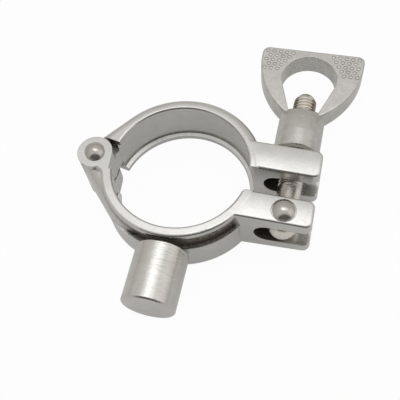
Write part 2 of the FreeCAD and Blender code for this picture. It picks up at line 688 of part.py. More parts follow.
# Wing nut: round barrel that flattens into a wing with a window
def wing_outline():
    corner_y = "(Sizes.wing_top - Sizes.wing_corner)"
    side_centre = "(Sizes.wing_half_width - Sizes.wing_side_radius)"
    rise = "sqrt(Sizes.wing_side_radius ^ 2 - (Sizes.wing_root_half - %s) ^ 2)" % side_centre
    root_y = "Sizes.wing_widest - " + rise
    left, right = "Sizes.bolt_place - ", "Sizes.bolt_place + "
    corner = "Sizes.wing_corner"
    sweep = "Sizes.wing_side_radius"
    return [
        (left + "Sizes.wing_root_half", root_y),
        (right + "Sizes.wing_root_half", root_y, sweep, "left"),
        (right + "Sizes.wing_half_width", "Sizes.wing_widest"),
        (right + "Sizes.wing_half_width", corner_y, corner, "left"),
        (right + "(Sizes.wing_half_width - Sizes.wing_corner)", "Sizes.wing_top"),
        (left + "(Sizes.wing_half_width - Sizes.wing_corner)", "Sizes.wing_top", corner, "left"),
        (left + "Sizes.wing_half_width", corner_y),
        (left + "Sizes.wing_half_width", "Sizes.wing_widest", sweep, "left"),
    ]


def window_outline():
    join = "sqrt(Sizes.window_radius ^ 2 - (Sizes.window_centre - Sizes.window_join) ^ 2)"
    left, right = "Sizes.bolt_place - ", "Sizes.bolt_place + "
    top = "Sizes.window_centre + Sizes.window_radius"
    return [
        (left + "Sizes.window_low_half", "Sizes.window_low"),
        (right + "Sizes.window_low_half", "Sizes.window_low"),
        (right + join, "Sizes.window_join", "Sizes.window_radius", "left"),
        ("Sizes.bolt_place", top, "Sizes.window_radius", "left"),
        (left + join, "Sizes.window_join"),
    ]


def wing_nut():
    wing = slab("Wing", wing_outline(), "Sizes.wing_half_thickness")
    half_thickness = size_of("Sizes.wing_half_thickness")

    def on_face(edge):
        return abs(abs(edge.CenterOfMass.z) - half_thickness) < 1e-6

    round_edges(wing, "WingEdges", "Sizes.wing_edge", on_face)
    barrel = cylinder("Barrel", "Sizes.barrel_radius", (
        "Sizes.barrel_blend - Sizes.nut_base"), (
        "Sizes.bolt_place", "Sizes.nut_base", "0"), ALONG_Y)
    chamfered = doc.addObject("Part::Chamfer", "BarrelChamfered")
    chamfered.Base = barrel
    doc.recompute()
    chamfered.Edges = end_rims(barrel, "Sizes.nut_base", "Sizes.barrel_chamfer")
    sections = []
    for share, thinned in ((0, 0), (0.5, 0.35), (1, 1)):
        section = doc.addObject("Part::Ellipse", "BlendSection")
        section.Placement = FreeCAD.Placement(FreeCAD.Vector(), ALONG_Y)
        bind(section, "MajorRadius", "Sizes.barrel_radius")
        bind(section, "MinorRadius", (
            "Sizes.barrel_radius - %s * (Sizes.barrel_radius - Sizes.barrel_half_end)" % thinned))
        place(section, ("Sizes.bolt_place", (
            "Sizes.barrel_blend + %s * (Sizes.window_low - Sizes.barrel_blend)" % share), "0"))
        sections.append(section)
    blend = doc.addObject("Part::Loft", "Blend")
    blend.Sections = sections
    blend.Solid = True
    solid = fuse("NutSolid", [wing, chamfered, blend])
    window = slab("Window", window_outline(), "Sizes.barrel_radius")
    thread_hole = cylinder("NutBore", "Sizes.bolt_radius + Sizes.thread_clearance", (
        "Sizes.window_centre - Sizes.nut_base + Sizes.cut_margin"), (
        "Sizes.bolt_place", "Sizes.nut_base - Sizes.cut_margin", "0"), ALONG_Y)
    return cut("WingNut", solid, fuse("NutTools", [window, thread_hole]))


bore = bore_tool()
pieces = {
    "near_jaw": near_jaw(bore),
    "far_jaw": far_jaw(bore),
    "hanger_rod": hanger_rod(),
    "hinge_pin": headed_pin(
        "HingePin", "Sizes.hinge_pin_radius", "Sizes.hinge_head_radius", HINGE, HALF_WIDTH),
    "eye_pin": headed_pin(
        "EyePin", "Sizes.eye_pin_radius", "Sizes.eye_head_radius", EYE_PIN, EYE_SEAT),
    "swing_bolt": swing_bolt(),
    "wing_nut": wing_nut(),
}
doc.recompute()

for item in doc.Objects:
    if "Invalid" in item.State or "Error" in item.State:
        raise RuntimeError("%s failed: %s" % (item.Name, item.State))

os.makedirs("parts", exist_ok=True)
for name, piece in pieces.items():
    piece.Label = name
    shape = piece.Shape
    if shape.isNull() or not shape.isValid() or len(shape.Solids) != 1:
        raise RuntimeError("%s has no single valid solid" % name)
    shape.exportStep("parts/%s.step" % name)
    print(name, round(shape.Volume, 1), shape.BoundBox)
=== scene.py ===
# %% [markdown]
# # A hinged tube hanger clip in stainless steel
# The clip is two cast half rings on a hinge pin. A swing bolt with a wing nut pulls
# their lugs together round a tube, and a plain bar carries the whole clip from a wall.
# The shapes come from a CAD model, which is loaded here and never moved. This script
# adds what CAD leaves out: the rolled thread, the grip dots and the finish of each metal.

import math

import bmesh
import bpy
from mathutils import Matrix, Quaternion, Vector


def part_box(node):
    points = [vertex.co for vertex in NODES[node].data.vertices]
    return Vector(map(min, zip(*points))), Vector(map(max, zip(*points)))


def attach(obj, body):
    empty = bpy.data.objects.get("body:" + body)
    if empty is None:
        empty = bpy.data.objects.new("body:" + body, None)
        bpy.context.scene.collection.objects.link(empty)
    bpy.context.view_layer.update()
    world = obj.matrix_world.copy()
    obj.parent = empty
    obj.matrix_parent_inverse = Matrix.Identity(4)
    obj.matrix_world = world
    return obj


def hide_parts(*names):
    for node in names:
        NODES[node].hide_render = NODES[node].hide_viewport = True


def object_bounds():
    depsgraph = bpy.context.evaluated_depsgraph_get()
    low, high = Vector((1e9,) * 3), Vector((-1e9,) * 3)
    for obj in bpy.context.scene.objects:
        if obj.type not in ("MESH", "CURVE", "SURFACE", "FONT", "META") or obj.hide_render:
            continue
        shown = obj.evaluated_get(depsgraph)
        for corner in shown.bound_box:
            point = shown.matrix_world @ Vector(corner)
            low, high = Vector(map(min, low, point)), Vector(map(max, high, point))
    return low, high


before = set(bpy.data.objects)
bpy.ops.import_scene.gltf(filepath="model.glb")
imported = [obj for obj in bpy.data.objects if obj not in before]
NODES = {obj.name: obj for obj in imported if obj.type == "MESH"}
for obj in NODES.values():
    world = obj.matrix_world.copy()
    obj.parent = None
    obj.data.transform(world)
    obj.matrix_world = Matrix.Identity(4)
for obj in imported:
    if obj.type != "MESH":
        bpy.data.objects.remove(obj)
cad_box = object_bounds()
MM = 0.001
print("CAD pieces:", sorted(NODES))
print("CAD box in mm:", [[round(v / MM, 1) for v in corner] for corner in cad_box])

# %% [markdown]
# ## The camera
# Matching a photograph starts with the camera, because every later comparison depends
# on it. It could be placed by eye and nudged. Here the lens, the place and the aim were
# worked out from points that the photograph shows clearly: both pin heads, the ring, the
# bolt and the rod's end. Then a difference that is left comes from the shape, and not
# from the view. The camera stands above the rod's side, looks down and rolls a little.

# %% Camera at the photograph's viewpoint
CAMERA_PLACE = Vector((45.9, -103.2, 187.6)) * MM
CAMERA_AIM = Vector((7.7, -5.9, 0.0)) * MM
CAMERA_ROLL = math.radians(-9.87)
LENS_MM = 58.39
SENSOR_MM = 36.0
CENTRE_SHIFT = (-0.0027, -0.0055)
NEAREST_MM = 10

camera_data = bpy.data.cameras.new("photo_camera")
camera_data.sensor_width = SENSOR_MM
camera_data.lens = LENS_MM
camera_data.shift_x, camera_data.shift_y = CENTRE_SHIFT
camera_data.clip_start = NEAREST_MM * MM
camera = bpy.data.objects.new("photo_camera", camera_data)
bpy.context.scene.collection.objects.link(camera)
aim = (CAMERA_AIM - CAMERA_PLACE).to_track_quat("-Z", "Y")
camera.rotation_mode = "QUATERNION"
camera.rotation_quaternion = aim @ Quaternion((0, 0, 1), CAMERA_ROLL)
camera.location = CAMERA_PLACE
bpy.context.scene.camera = camera
bpy.context.scene.view_settings.view_transform = "Standard"
print("camera is", round((CAMERA_AIM - CAMERA_PLACE).length / MM), "mm from the clip")

# %% [markdown]
# ## Helpers for materials
# A procedural material is a small graph of nodes. One function adds any node, sets its
# properties and links its inputs, so a material below reads as a list of its layers.
# Colours are written as sRGB hex, as a colour picker shows them, and turned to the
# linear values that Blender works with. Pattern sizes are written in millimetres: a
# noise of scale 1000 / 2 on coordinates in metres has patches about 2 mm across.

# %% Node, colour and scale helpers


def add_node(tree, kind, inputs=None, **settings):
    """Add a node, set its properties, then set each input or link it to another socket."""
    node = tree.nodes.new(kind)
    for name, value in settings.items():
        setattr(node, name, value)
    for socket, value in (inputs or {}).items():
        if isinstance(value, bpy.types.NodeSocket):
            tree.links.new(value, node.inputs[socket])
        else:
            node.inputs[socket].default_value = value
    return node


def linear(hex_colour):
    """An sRGB hex colour as a linear RGBA value."""
    channels = [int(hex_colour[i:i + 2], 16) / 255 for i in (1, 3, 5)]
    return [c / 12.92 if c <= 0.04045 else ((c + 0.055) / 1.055) ** 2.4
            for c in channels] + [1.0]


def per_mm(size_mm):
    """Noise scale for patches of about this size, on coordinates in metres."""
    return 1 / (size_mm * MM)


def new_tree(name):
    """A new material with an empty node tree. Returns both."""
    material = bpy.data.materials.new(name)
    material.use_nodes = True
    material.node_tree.nodes.clear()
    return material, material.node_tree


print("white in linear light:", linear("#FFFFFF"))

# %% [markdown]
# ## The steel family
# Every piece is austenitic stainless steel, and each was finished another way. A metal
# takes its look from reflections, so the base colour varies only a little, and roughness
# and bump do most of the work. Each piece could have its own graph, but the layers are
# the same in all of them: soft clouds of two tones, and a grain that drives both the
# roughness and the bump. So one function builds them, and each finish gives its sizes.
# The Bevel node rounds the light at sharp edges without changing the mesh, as tumbling
# does on the real piece. Noise seldom leaves the range from 0.3 to 0.7, so the roughness
# is spread over that range.

# %% One function for the shared layers of satin steel
EDGE_BREAK_MM = 0.3
BEVEL_SAMPLES = 6
CLOUD_DETAIL, CLOUD_CONTRAST = 4.0, 0.6
GRAIN_DETAIL = 3.0
GRAIN_LOW, GRAIN_HIGH = 0.3, 0.7
EVEN = (1, 1, 1)


def satin_steel(name, light, dark, roughness, cloud_mm, grain_mm, grain_depth_mm,
                grain_stretch=EVEN, crown=None, edge_mm=EDGE_BREAK_MM):
    """Satin steel with clouds of two tones and a grain. Returns material, tree, shader.

    A crown is a function that returns a height in metres, for faces worn slightly round.
    """
    material, tree = new_tree(name)
    place = add_node(tree, "ShaderNodeTexCoord").outputs["Object"]
    cloud = add_node(tree, "ShaderNodeTexNoise", {
        "Vector": place, "Scale": per_mm(cloud_mm), "Detail": CLOUD_DETAIL,
        "Roughness": CLOUD_CONTRAST})
    tone = add_node(tree, "ShaderNodeMix", {
        "Factor": cloud.outputs["Fac"], "A": linear(dark), "B": linear(light),
    }, data_type="RGBA")
    stretched = add_node(tree, "ShaderNodeMapping", {
        "Vector": place, "Scale": grain_stretch})
    grain = add_node(tree, "ShaderNodeTexNoise", {
        "Vector": stretched.outputs["Vector"], "Scale": per_mm(grain_mm),
        "Detail": GRAIN_DETAIL})
    gloss = add_node(tree, "ShaderNodeMapRange", {
        "Value": grain.outputs["Fac"], "From Min": GRAIN_LOW, "From Max": GRAIN_HIGH,
        "To Min": roughness[0], "To Max": roughness[1]})
    edge = add_node(tree, "ShaderNodeBevel", {"Radius": edge_mm * MM},
                    samples=BEVEL_SAMPLES)
    height = add_node(tree, "ShaderNodeMath", {
        0: grain.outputs["Fac"], 1: grain_depth_mm * MM, 2: crown(tree) if crown else 0.0,
    }, operation="MULTIPLY_ADD").outputs["Value"]
    relief = add_node(tree, "ShaderNodeBump", {
        "Height": height, "Distance": 1.0, "Normal": edge.outputs["Normal"]})
    shader = add_node(tree, "ShaderNodeBsdfPrincipled", {
        "Base Color": tone.outputs["Result"], "Metallic": 1.0,
        "Roughness": gloss.outputs["Result"], "Normal": relief.outputs["Normal"]})
    add_node(tree, "ShaderNodeOutputMaterial", {"Surface": shader.outputs["BSDF"]})
    return material, tree, shader


print("sharp edges look broken by", EDGE_BREAK_MM, "mm")

# %% Helper that gives a CAD node its finish


def dress(node_name, material):
    """Give a CAD node a finish. Its mesh stays as it is."""
    slots = NODES[node_name].data.materials
    slots.clear()
    slots.append(material)
    print(node_name, "is finished in", material.name)


print("nodes that wait for a finish:", len(NODES))

# %% [markdown]
# ## The two castings
# Both jaws are investment castings, tumbled with small media. That leaves a satin skin
# with soft clouds and a fine grain, which is drawn as coarse as it needs to show. It
# also wears the flat tops of the lugs slightly round, so that a highlight fades across
# them instead of filling them. The crown could be cut in CAD, but it is so low that only
# reflections show it. Here it is a bump height that falls off with the square of the
# distance from the lug's middle line. It starts beyond the ring, so that the ring's own
# top stays flat.

# %% Crown of a lug's top
CROWN_PER_MM = 0.0075
CROWN_HALF_MM = 5.0
CROWN_FROM_MM, CROWN_FULL_MM = 19.0, 26.0
FAR_LUG_MIDDLE_MM, NEAR_LUG_MIDDLE_MM = 8.3, -10.2


def lug_crown(middle_y_mm):
    """Height that falls off from the middle line of a lug to its two long edges."""
    def crown(tree):
        place = add_node(tree, "ShaderNodeTexCoord").outputs["Object"]
        axes = add_node(tree, "ShaderNodeSeparateXYZ", {"Vector": place})
        offset = add_node(tree, "ShaderNodeMath", {
            0: axes.outputs["Y"], 1: middle_y_mm * MM}, operation="SUBTRACT")
        distance = add_node(tree, "ShaderNodeMath", {0: offset.outputs["Value"]},
                            operation="ABSOLUTE")
        on_top = add_node(tree, "ShaderNodeMath", {
            0: distance.outputs["Value"], 1: CROWN_HALF_MM * MM}, operation="MINIMUM")
        square = add_node(tree, "ShaderNodeMath", {
            0: on_top.outputs["Value"], 1: on_top.outputs["Value"]}, operation="MULTIPLY")
        beyond_ring = add_node(tree, "ShaderNodeMapRange", {
            "Value": axes.outputs["X"], "From Min": CROWN_FROM_MM * MM,
            "From Max": CROWN_FULL_MM * MM, "To Max": -CROWN_PER_MM / MM,
        }, interpolation_type="SMOOTHSTEP")
        return add_node(tree, "ShaderNodeMath", {
            0: square.outputs["Value"], 1: beyond_ring.outputs["Result"],
        }, operation="MULTIPLY").outputs["Value"]
    return crown


print("a lug's edge is", round(CROWN_PER_MM * CROWN_HALF_MM ** 2, 2), "mm lower")

# %% Tumbled castings
TUMBLED = dict(light="#CDCCC9", dark="#B9B7B3", roughness=(0.17, 0.27), cloud_mm=6.0,
               grain_mm=0.9, grain_depth_mm=0.015)
far_cast, far_tree, far_shader = satin_steel(
    "tumbled_cast_stainless_steel", **TUMBLED, crown=lug_crown(FAR_LUG_MIDDLE_MM))
near_cast, near_tree, near_shader = satin_steel(
    "tumbled_cast_stainless_steel_with_rough_and_shaded_recess", **TUMBLED,
    crown=lug_crown(NEAR_LUG_MIDDLE_MM))
dress("far_jaw", far_cast)
dress("near_jaw", near_cast)

# %% [markdown]
# ## Rough skin and painted shade in the recess and the slots
# The near jaw has a recess round its outer wall, and both lugs have a slot for the bolt.
# In both the casting skin is rough. In the recess its darker colour is partly the skin's
# own and partly painted shade under the upper flange. In the slots the dark colour is
# painted shade, darkest deep inside and lighter towards the mouth. It could be a material
# of its own on chosen faces, but its edge would then follow the faces and could not fade.
# A mask made from coordinates finds the same places: the distance to the bore's axis and
# the height for the recess, and a long shape with a round end for the slots, which fades
# towards the mouth.

# %% One function that turns limits into a mask


def all_within(tree, limits):
    """A mask that is 1 where every value keeps to its limit.

    A limit is a value, where the mask is still 0 and where it is full, in millimetres.
    """
    mask = 1.0
    for value, none_mm, full_mm in limits:
        ramp = add_node(tree, "ShaderNodeMapRange", {
            "Value": value, "From Min": none_mm * MM, "From Max": full_mm * MM})
        mask = add_node(tree, "ShaderNodeMath", {
            0: mask, 1: ramp.outputs["Result"]}, operation="MULTIPLY").outputs["Value"]
    return mask


print("a mask is full where it is 1")

# %% Mask of the near jaw's recess, for its rough skin and painted shade
RECESS_INNER_MM, RECESS_OUTER_MM = 24.6, 26.6
RECESS_FADE_MM = 1.2
RECESS_BOTTOM_MM, RECESS_TOP_MM = 0.6, 7.6
HAIR_MM = 0.01


def rough_skin_and_shade_recess_mask(tree):
    """1 in the recess, by the distance to the bore's axis and the height."""
    place = add_node(tree, "ShaderNodeTexCoord").outputs["Object"]
    axes = add_node(tree, "ShaderNodeSeparateXYZ", {"Vector": place})
    flat = add_node(tree, "ShaderNodeCombineXYZ", {
        "X": axes.outputs["X"], "Y": axes.outputs["Y"]})
    radius = add_node(tree, "ShaderNodeVectorMath", {0: flat.outputs["Vector"]},
                      operation="LENGTH").outputs["Value"]
    height = axes.outputs["Z"]
    return all_within(tree, (
        (radius, RECESS_INNER_MM, RECESS_INNER_MM + HAIR_MM),
        (radius, RECESS_OUTER_MM, RECESS_OUTER_MM - RECESS_FADE_MM),
        (height, RECESS_BOTTOM_MM, RECESS_BOTTOM_MM + HAIR_MM),
        (height, RECESS_TOP_MM, RECESS_TOP_MM - HAIR_MM)))


print("the raw recess lies between", RECESS_BOTTOM_MM, "and", RECESS_TOP_MM, "mm up")

# %% Mask of painted shade in the lugs' slots
SLOT_END_MM, SLOT_HALF_MM = 27.0, 4.35
SLOT_RIM_MM = 0.03
SLOT_DEEP_MM, SLOT_MOUTH_MM = 34.0, 41.0


# A mask of painted shade, full deep in the slot and fading towards its mouth.
def slot_shade_mask(tree):
    """1 deep in a lug's slot, by the distance to the middle line of its round end."""
    place = add_node(tree, "ShaderNodeTexCoord").outputs["Object"]
    axes = add_node(tree, "ShaderNodeSeparateXYZ", {"Vector": place})
    past_centre = add_node(tree, "ShaderNodeMath", {
        0: axes.outputs["X"], 1: (SLOT_END_MM + SLOT_HALF_MM) * MM}, operation="SUBTRACT")
    in_round_end = add_node(tree, "ShaderNodeMath", {
        0: past_centre.outputs["Value"], 1: 0.0}, operation="MINIMUM")
    across = add_node(tree, "ShaderNodeCombineXYZ", {
        "X": in_round_end.outputs["Value"], "Z": axes.outputs["Z"]})
    from_middle = add_node(tree, "ShaderNodeVectorMath", {0: across.outputs["Vector"]},
                           operation="LENGTH").outputs["Value"]
    return all_within(tree, (
        (axes.outputs["X"], SLOT_MOUTH_MM, SLOT_DEEP_MM),
        (from_middle, SLOT_HALF_MM + 2 * SLOT_RIM_MM, SLOT_HALF_MM + SLOT_RIM_MM)))


# The slots' dark colour is painted shade, and their surface is rough.
print("the slots are raw from", SLOT_END_MM, "to", SLOT_DEEP_MM, "mm and fade after that")

# %% Painted shade and rough casting skin inside the recess and the slots
SKIN_SPECK_MM = 0.7
SKIN_DETAIL, SKIN_CONTRAST = 5.0, 0.7
SPECK_LOW, SPECK_HIGH = 0.35, 0.65
SKIN_ROUGHNESS = 0.58
SKIN_METALLIC = 0.4


def lay_over(tree, shader, socket, mask, value, kind):
    """Let a value or colour replace what a shader's socket has where the mask is 1."""
    target = shader.inputs[socket]
    below = target.links[0].from_socket if target.is_linked else target.default_value
    mix = add_node(tree, "ShaderNodeMix", {"Factor": mask, "A": below, "B": value},
                   data_type=kind)
    tree.links.new(mix.outputs["Result"], target)


def lay_rough_skin_and_painted_shade(tree, shader, mask, dark, light):
    """Lay rough casting skin and a dark colour that paints shade over a tumbled finish
    where the mask is 1.
    """
    place = add_node(tree, "ShaderNodeTexCoord").outputs["Object"]
    noise = add_node(tree, "ShaderNodeTexNoise", {
        "Vector": place, "Scale": per_mm(SKIN_SPECK_MM), "Detail": SKIN_DETAIL,
        "Roughness": SKIN_CONTRAST})
    specks = add_node(tree, "ShaderNodeMapRange", {
        "Value": noise.outputs["Fac"], "From Min": SPECK_LOW, "From Max": SPECK_HIGH})
    skin = add_node(tree, "ShaderNodeMix", {
        "Factor": specks.outputs["Result"], "A": linear(dark), "B": linear(light),
    }, data_type="RGBA")
    lay_over(tree, shader, "Base Color", mask, skin.outputs["Result"], "RGBA")
    lay_over(tree, shader, "Roughness", mask, SKIN_ROUGHNESS, "FLOAT")
    lay_over(tree, shader, "Metallic", mask, SKIN_METALLIC, "FLOAT")


# Rough casting skin in the recess, whose darker colour is partly painted shade.
lay_rough_skin_and_painted_shade(near_tree, near_shader, rough_skin_and_shade_recess_mask(near_tree), "#5E554F", "#B4ABA3")
# Painted shade in both lugs' slots, darkest deep inside.
for tree, shader in ((near_tree, near_shader), (far_tree, far_shader)):
    lay_rough_skin_and_painted_shade(tree, shader, slot_shade_mask(tree), "#2C2825", "#5A534D")
print("raw skin has specks of", SKIN_SPECK_MM, "mm")

# %% [markdown]
# ## The hanger rod
# The rod is bright bar, cut off and skimmed on a lathe. The cutter leaves fine rings
# round the bar, which break the long highlight into short streaks. A wave texture would
# give perfect rings, which look like a thread. So this is the same noise as on the other
# pieces, squeezed along the rod, the Y axis here, and drawn out across it: each speck
# becomes a short piece of a ring. Real rings are finer than a pixel of the photograph,
# so these are drawn as coarse as they need to show.

# %% Turned bar
turned, _, _ = satin_steel(
    "turned_stainless_bar", light="#CECCC8", dark="#B6B3AE", roughness=(0.14, 0.24),
    cloud_mm=5.0, grain_mm=1.8, grain_depth_mm=0.1, grain_stretch=(0.7, 2.4, 0.7))
dress("hanger_rod", turned)

# %% [markdown]
# ## The riveted pins
# Each pin head is closed by a rotating punch, which burnishes it almost to a mirror. It
# could be a plain mirror, but a perfect one looks like plastic film. Low roughness and a
# shallow, slow noise give it slightly wavy reflections instead.

# %% Burnished rivet heads
burnished, _, _ = satin_steel(
    "burnished_stainless_rivet", light="#BAB6B1", dark="#A6A29C",
    roughness=(0.06, 0.11), cloud_mm=3.0, grain_mm=1.2, grain_depth_mm=0.01)
for pin in ("hinge_pin", "eye_pin"):
    dress(pin, burnished)

# %% [markdown]
# ## The wing nut
# The wing nut is a casting too, blasted with shot after tumbling. The shot spreads the
# highlights, so it is a more even grey than the jaws, and its edges are rounder. The
# dents of the shot could be modelled, but they are smaller than a pixel. A grain that is
# coarser than the real dents and a wider spread of roughness give the same dull sparkle.

# %% Blasted casting
BLASTED_EDGE_MM = 0.5
blasted, _, _ = satin_steel(
    "shot_blasted_cast_stainless_steel", light="#D0CECA", dark="#A9A7A2",
    roughness=(0.22, 0.36), cloud_mm=2.5, grain_mm=1.0, grain_depth_mm=0.014,
    edge_mm=BLASTED_EDGE_MM)
dress("wing_nut", blasted)

# %% [markdown]
# ## The swing bolt and its thread
# The CAD bolt is a plain cylinder where the thread is. A real M8 thread has a pitch of
# 1.25 mm and is rolled, so its crests and roots are smooth. One way to show it is a bump
# map, but the silhouette would stay straight. Here a single tooth of the thread is spun
# round the axis while it moves on by one pitch a turn, as a screw does. Neighbouring
# turns share their edges, so merging doubles gives one closed skin.

# %% Bolt steel
bolt_steel, _, _ = satin_steel(
    "rolled_stainless_bolt", light="#E6E1D9", dark="#D4CEC4", roughness=(0.2, 0.32),
    cloud_mm=3.0, grain_mm=0.5, grain_depth_mm=0.004)
print("the bolt is made of", bolt_steel.name)

# %% Sizes of the thread
BOLT_X_MM = 35.7
CREST_MM = 3.95
PITCH_MM = 1.25
DEPTH_IN_PITCHES = 0.54
ROOT_MM = CREST_MM - DEPTH_IN_PITCHES * PITCH_MM
SHARE_ROOT, SHARE_CREST = 1 / 8, 3 / 8
THREAD_START_MM = 2.0
TIP_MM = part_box("swing_bolt")[1].y / MM
POINT_MM = 2.0
POINT_RADIUS_MM = 2.7
STEPS_PER_TURN = 48
TURNS_BEFORE, TURNS_SPARE = 2, 3
MERGE_MM = 0.002
turns = math.ceil((TIP_MM - THREAD_START_MM) / PITCH_MM) + TURNS_SPARE
print("thread from", THREAD_START_MM, "to", round(TIP_MM, 2), "mm,", turns, "turns spun")

# %% Spin one tooth into a thread
flank = (1 - SHARE_ROOT - SHARE_CREST) / 2
tooth = [(ROOT_MM, 0), (ROOT_MM, SHARE_ROOT), (CREST_MM, SHARE_ROOT + flank),
         (CREST_MM, 1 - flank), (ROOT_MM, 1)]
first_turn_mm = THREAD_START_MM - TURNS_BEFORE * PITCH_MM
thread = bmesh.new()
corners = [thread.verts.new((radius * MM, (first_turn_mm + share * PITCH_MM) * MM, 0))
           for radius, share in tooth]
edges = [thread.edges.new(pair) for pair in zip(corners, corners[1:])]
bmesh.ops.spin(
    thread, geom=corners + edges, cent=(0, 0, 0), axis=(0, 1, 0),
    dvec=(0, PITCH_MM * MM / STEPS_PER_TURN, 0),
    angle=2 * math.pi * turns, steps=STEPS_PER_TURN * turns)
bmesh.ops.remove_doubles(thread, verts=thread.verts, dist=MERGE_MM * MM)
print("thread skin:", len(thread.verts), "vertices")

# %% Cut the thread square at both ends and close it


def cut_square(bm, y_mm, keep_below):
    """Cut a bmesh at a height along Y, and close the cut."""
    result = bmesh.ops.bisect_plane(
        bm, geom=bm.verts[:] + bm.edges[:] + bm.faces[:], plane_co=(0, y_mm * MM, 0),
        plane_no=(0, 1, 0) if keep_below else (0, -1, 0), clear_outer=True)
    rim = [item for item in result["geom_cut"] if isinstance(item, bmesh.types.BMEdge)]
    bmesh.ops.holes_fill(bm, edges=rim, sides=0)


cut_square(thread, TIP_MM, keep_below=True)
cut_square(thread, THREAD_START_MM, keep_below=False)
print("thread cut and closed:", len(thread.verts), "vertices")

# %% Turn the tip down to a point and put the thread on the bolt's axis
for vertex in thread.verts:
    radius = math.hypot(vertex.co.x, vertex.co.z) / MM
    from_tip = TIP_MM - vertex.co.y / MM
    limit = POINT_RADIUS_MM + (CREST_MM - POINT_RADIUS_MM) * from_tip / POINT_MM
    if from_tip < POINT_MM and radius > limit:
        vertex.co.x *= limit / radius
        vertex.co.z *= limit / radius
bmesh.ops.translate(thread, verts=thread.verts, vec=(BOLT_X_MM * MM, 0, 0))
bmesh.ops.recalc_face_normals(thread, faces=thread.faces)
print("the point is", POINT_MM, "mm long and", 2 * POINT_RADIUS_MM, "mm across")

# %% [markdown]
# ## From bmesh to a piece of the clip
# A piece of this script has to ride on a body of the CAD model, or it would stay behind
# when a joint moves. It also needs its finish. One helper gives both to every piece.
# Faces are shaded smooth, and edges sharper than a given angle stay sharp, such as the
# thread's crests and the bolt's cut end.

# %% Helper that turns a bmesh into an object
SHARP_DEGREES = 32
SHARP_THREAD_DEGREES = 50
SHARP_DOT_DEGREES = 60


def finish_piece(bm, name, material, body, sharp_degrees=SHARP_DEGREES):
    """Make a shaded object from a bmesh, and let it ride on a CAD body."""
    mesh = bpy.data.meshes.new(name)
    bm.to_mesh(mesh)
    bm.free()
    mesh.shade_smooth()
    mesh.set_sharp_from_angle(angle=math.radians(sharp_degrees))
    mesh.materials.append(material)
    piece = bpy.data.objects.new(name, mesh)
    bpy.context.scene.collection.objects.link(piece)
    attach(piece, body)
    print(name, "has", len(mesh.polygons), "faces")
    return piece


finish_piece(thread, "bolt_thread", bolt_steel, "swing_bolt",
             sharp_degrees=SHARP_THREAD_DEGREES)

# %% Keep the CAD bolt's eye and shank below the thread
CAD_MERGE_MM = 0.001
shank = bmesh.new()
shank.from_mesh(NODES["swing_bolt"].data)
bmesh.ops.remove_doubles(shank, verts=shank.verts, dist=CAD_MERGE_MM * MM)
cut_square(shank, THREAD_START_MM, keep_below=True)
bolt_shank = finish_piece(shank, "bolt_shank", bolt_steel, "swing_bolt")
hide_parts("swing_bolt")

# %% [markdown]
# ## Grip dots on the wing
# Small raised dots in both upper corners of the wing keep a wet thumb from slipping.
# They are cast with the wing. A bump pattern could draw them, but they would not catch
# the light at the edge of the wing. Each is a low dome: a sphere squashed flat and sunk
# to its middle in the face. It has only 72 faces, because it is repeated many times.
# Rows start at a margin from the wing's edges, every other row is shifted by half a
# space, and dots too close to the window or to the wing's middle are left out.

# %% Sizes and rows of the grip dots
WING_FACE_MM = 3.85
WING_TOP_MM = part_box("wing_nut")[1].y / MM
WING_HALF_MM = 18.4
EDGE_MARGIN_MM = 1.9
WINDOW_CENTRE_MM = 46.0
WINDOW_RADIUS_MM = 9.7
WINDOW_MARGIN_MM = 1.4
MIDDLE_MARGIN_MM = 5.52
DOT_RADIUS_MM = 0.8
DOT_HEIGHT_MM = 0.17
DOT_SPACING_MM = 2.3
ROW_DROP_MM = DOT_SPACING_MM * math.sqrt(3) / 2
DOT_ROWS, DOT_COLUMNS = 5, 9

places = []
for row in range(DOT_ROWS):
    y = WING_TOP_MM - EDGE_MARGIN_MM - row * ROW_DROP_MM
    for column in range(DOT_COLUMNS):
        x = WING_HALF_MM - EDGE_MARGIN_MM - (column + row % 2 / 2) * DOT_SPACING_MM
        from_window = math.hypot(x, y - WINDOW_CENTRE_MM) - WINDOW_RADIUS_MM
        if from_window > WINDOW_MARGIN_MM and x > MIDDLE_MARGIN_MM:
            places += [(BOLT_X_MM + side * x, y) for side in (-1, 1)]
print(len(places), "grip dots on each face")

# %% Dome each dot on both faces of the wing
DOME_SEGMENTS, DOME_RINGS = 12, 6
dots = bmesh.new()
for x, y in places:
    for face in (-1, 1):
        made = bmesh.ops.create_uvsphere(
            dots, u_segments=DOME_SEGMENTS, v_segments=DOME_RINGS, radius=MM)
        bmesh.ops.scale(dots, verts=made["verts"],
                        vec=(DOT_RADIUS_MM, DOT_RADIUS_MM, DOT_HEIGHT_MM))
        bmesh.ops.translate(dots, verts=made["verts"],
                            vec=(x * MM, y * MM, face * WING_FACE_MM * MM))
finish_piece(dots, "grip_dots", blasted, "wing_nut",
             sharp_degrees=SHARP_DOT_DEGREES)

# %% [markdown]
# ## The floor
# The clip lies on pale paper. A plain diffuse floor turns grey wherever the light is
# soft, and more light on it would also fall on the steel. So the floor has a glow of its
# own that depends on the kind of ray: the camera sees nearly all of it, a reflection in
# the steel sees about a third, and the light that the floor sends on has none of it. The
# rest is the paper's own diffuse look, which keeps a trace of the clip's soft shadow.

# %% Floor
FLOOR_HALF_M = 3.0
CAMERA_GLOW = 0.96
GLOSS_GLOW = 0.36
floor_level = cad_box[0].z


def glow_share(tree):
    """How much of the floor's own glow a ray sees: most for the camera, less for gloss."""
    path = add_node(tree, "ShaderNodeLightPath")
    gloss = add_node(tree, "ShaderNodeMath", {
        0: path.outputs["Is Glossy Ray"], 1: path.outputs["Is Transmission Ray"],
    }, operation="MAXIMUM")
    gloss_part = add_node(tree, "ShaderNodeMath", {
        0: gloss.outputs["Value"], 1: GLOSS_GLOW}, operation="MULTIPLY")
    return add_node(tree, "ShaderNodeMath", {
        0: path.outputs["Is Camera Ray"], 1: CAMERA_GLOW, 2: gloss_part.outputs["Value"],
    }, operation="MULTIPLY_ADD").outputs["Value"]


